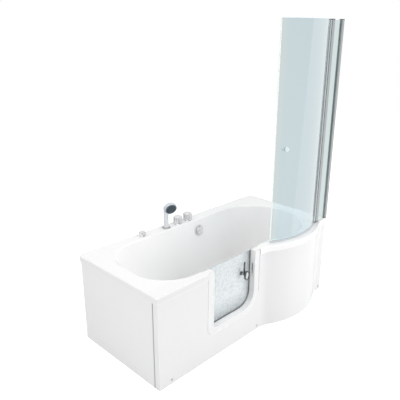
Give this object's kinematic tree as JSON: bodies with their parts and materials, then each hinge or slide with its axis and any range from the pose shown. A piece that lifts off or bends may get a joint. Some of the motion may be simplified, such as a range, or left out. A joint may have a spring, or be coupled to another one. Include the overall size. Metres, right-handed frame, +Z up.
{
  "type": "walk-in bathtub",
  "caption": "White walk-in shower bath with a rounded shower end, an inward-opening glass door in its front, a curved hinged glass screen, deck taps and a hand shower.",
  "frame": {"origin": "bottom centre of the bounding box, on the floor", "axes": "+X along the bath to the shower end and the screen's wall, +Y to the back wall, +Z up"},
  "size_m": [1.675, 0.845, 2],
  "materials": {
    "white_acrylic": "high gloss",
    "white_panel": "gloss",
    "white_moulding": "satin gloss",
    "clear_glass": "clear, pale blue",
    "chrome": "polished",
    "satin_chrome": "satin",
    "dark_chrome": "dark polished",
    "anodised": "satin anodised",
    "grey_plastic": "matt",
    "dark_face": "matt",
    "white_plastic": "matt",
    "seal_rubber": "matt",
    "steel": "zinc plated",
    "rail_paint": "powder coat",
    "board": "raw board",
    "brass": "raw"
  },
  "bodies": {
    "tub": {"bath_shell": "white_acrylic", "front_panel": "white_panel", "end_panel": "white_panel", "panel_battens": "board", "panel_screws": "steel", "screw_caps": "white_plastic", "panel_clips": "grey_plastic", "base_board": "board", "front_rail": "rail_paint", "back_rail": "rail_paint", "cross_rails": "rail_paint", "foot_rods": "steel", "foot_nuts": "steel", "foot_pads": "grey_plastic", "door_frame": "white_moulding", "latch_keeper": "steel", "door_seal": "seal_rubber", "lower_hinge_bracket": "chrome", "upper_hinge_bracket": "chrome", "hinge_pins": "steel", "wall_profile": "anodised", "hinge_post": "anodised", "fixed_pane": "clear_glass", "screen_end_caps": "grey_plastic", "pivot_pins": "steel", "hot_valve": "brass", "cold_valve": "brass", "diverter_valve": "brass", "escutcheons": "chrome", "deck_back_nuts": "brass", "handset_guide": "satin_chrome", "overflow_cover": "satin_chrome", "overflow_body": "white_plastic", "overflow_pipe": "white_plastic", "waste_flange": "chrome", "waste_body": "white_plastic", "waste_trap": "white_plastic"},
    "door": {"door_glass": "clear_glass", "lower_hinge_leaf": "chrome", "upper_hinge_leaf": "chrome", "hinge_bolts": "steel", "latch_bush": "grey_plastic"},
    "latch": {"latch_spindle": "steel", "door_lever": "dark_chrome", "latch_bar": "dark_chrome", "inner_lever": "chrome"},
    "screen": {"swing_profile": "anodised", "screen_glass": "clear_glass", "screen_seal": "seal_rubber", "screen_knob_outer": "chrome", "screen_knob_inner": "chrome", "knob_stud": "steel"},
    "hot_tap": {"hot_knob": "chrome"},
    "cold_tap": {"cold_knob": "chrome"},
    "diverter": {"diverter_knob": "chrome"},
    "handset": {"handset_shell": "white_plastic", "handset_face": "dark_face"},
    "overflow_control": {"overflow_knob": "satin_chrome"},
    "plug": {"waste_plug": "chrome"}
  },
  "joints": [
    {"name": "door_swing", "type": "hinge", "parent": "tub", "child": "door", "pos_m": [-0.42997, -0.2682, 0.4], "axis": [0, 0, 1], "range_deg": [0, 90]},
    {"name": "latch_turn", "type": "hinge", "parent": "door", "child": "latch", "pos_m": [-0.08997, -0.2975, 0.458], "axis": [0, 1, 0], "range_deg": [0, 90]},
    {"name": "screen_swing", "type": "hinge", "parent": "tub", "child": "screen", "pos_m": [0.68014, -0.31042, 1.3], "axis": [0, 0, 1], "range_deg": [-90, 60]},
    {"name": "hot_turn", "type": "hinge", "parent": "tub", "child": "hot_tap", "pos_m": [-0.0365, 0.3775, 0.64], "axis": [0, 0, 1], "range_deg": [0, 90]},
    {"name": "cold_turn", "type": "hinge", "parent": "tub", "child": "cold_tap", "pos_m": [0.0615, 0.3775, 0.64], "axis": [0, 0, 1], "range_deg": [0, 90]},
    {"name": "diverter_turn", "type": "hinge", "parent": "tub", "child": "diverter", "pos_m": [-0.3655, 0.3775, 0.63], "axis": [0, 0, 1], "range_deg": [0, 90]},
    {"name": "handset_lift", "type": "slide", "parent": "tub", "child": "handset", "axis": [0, 0, 1], "range_m": [0, 0.08]},
    {"name": "overflow_turn", "type": "hinge", "parent": "tub", "child": "overflow_control", "pos_m": [0.1275, 0.32712, 0.514], "axis": [0, -0.9881, 0.1537], "range_deg": [0, 90]},
    {"name": "plug_lift", "type": "slide", "parent": "tub", "child": "plug", "axis": [0, 0, 1], "range_m": [0, 0.012]}
  ],
  "couplings": [
    {"joint": "plug_lift", "follows": "overflow_turn", "m_per_rad": 0.007632}
  ]
}
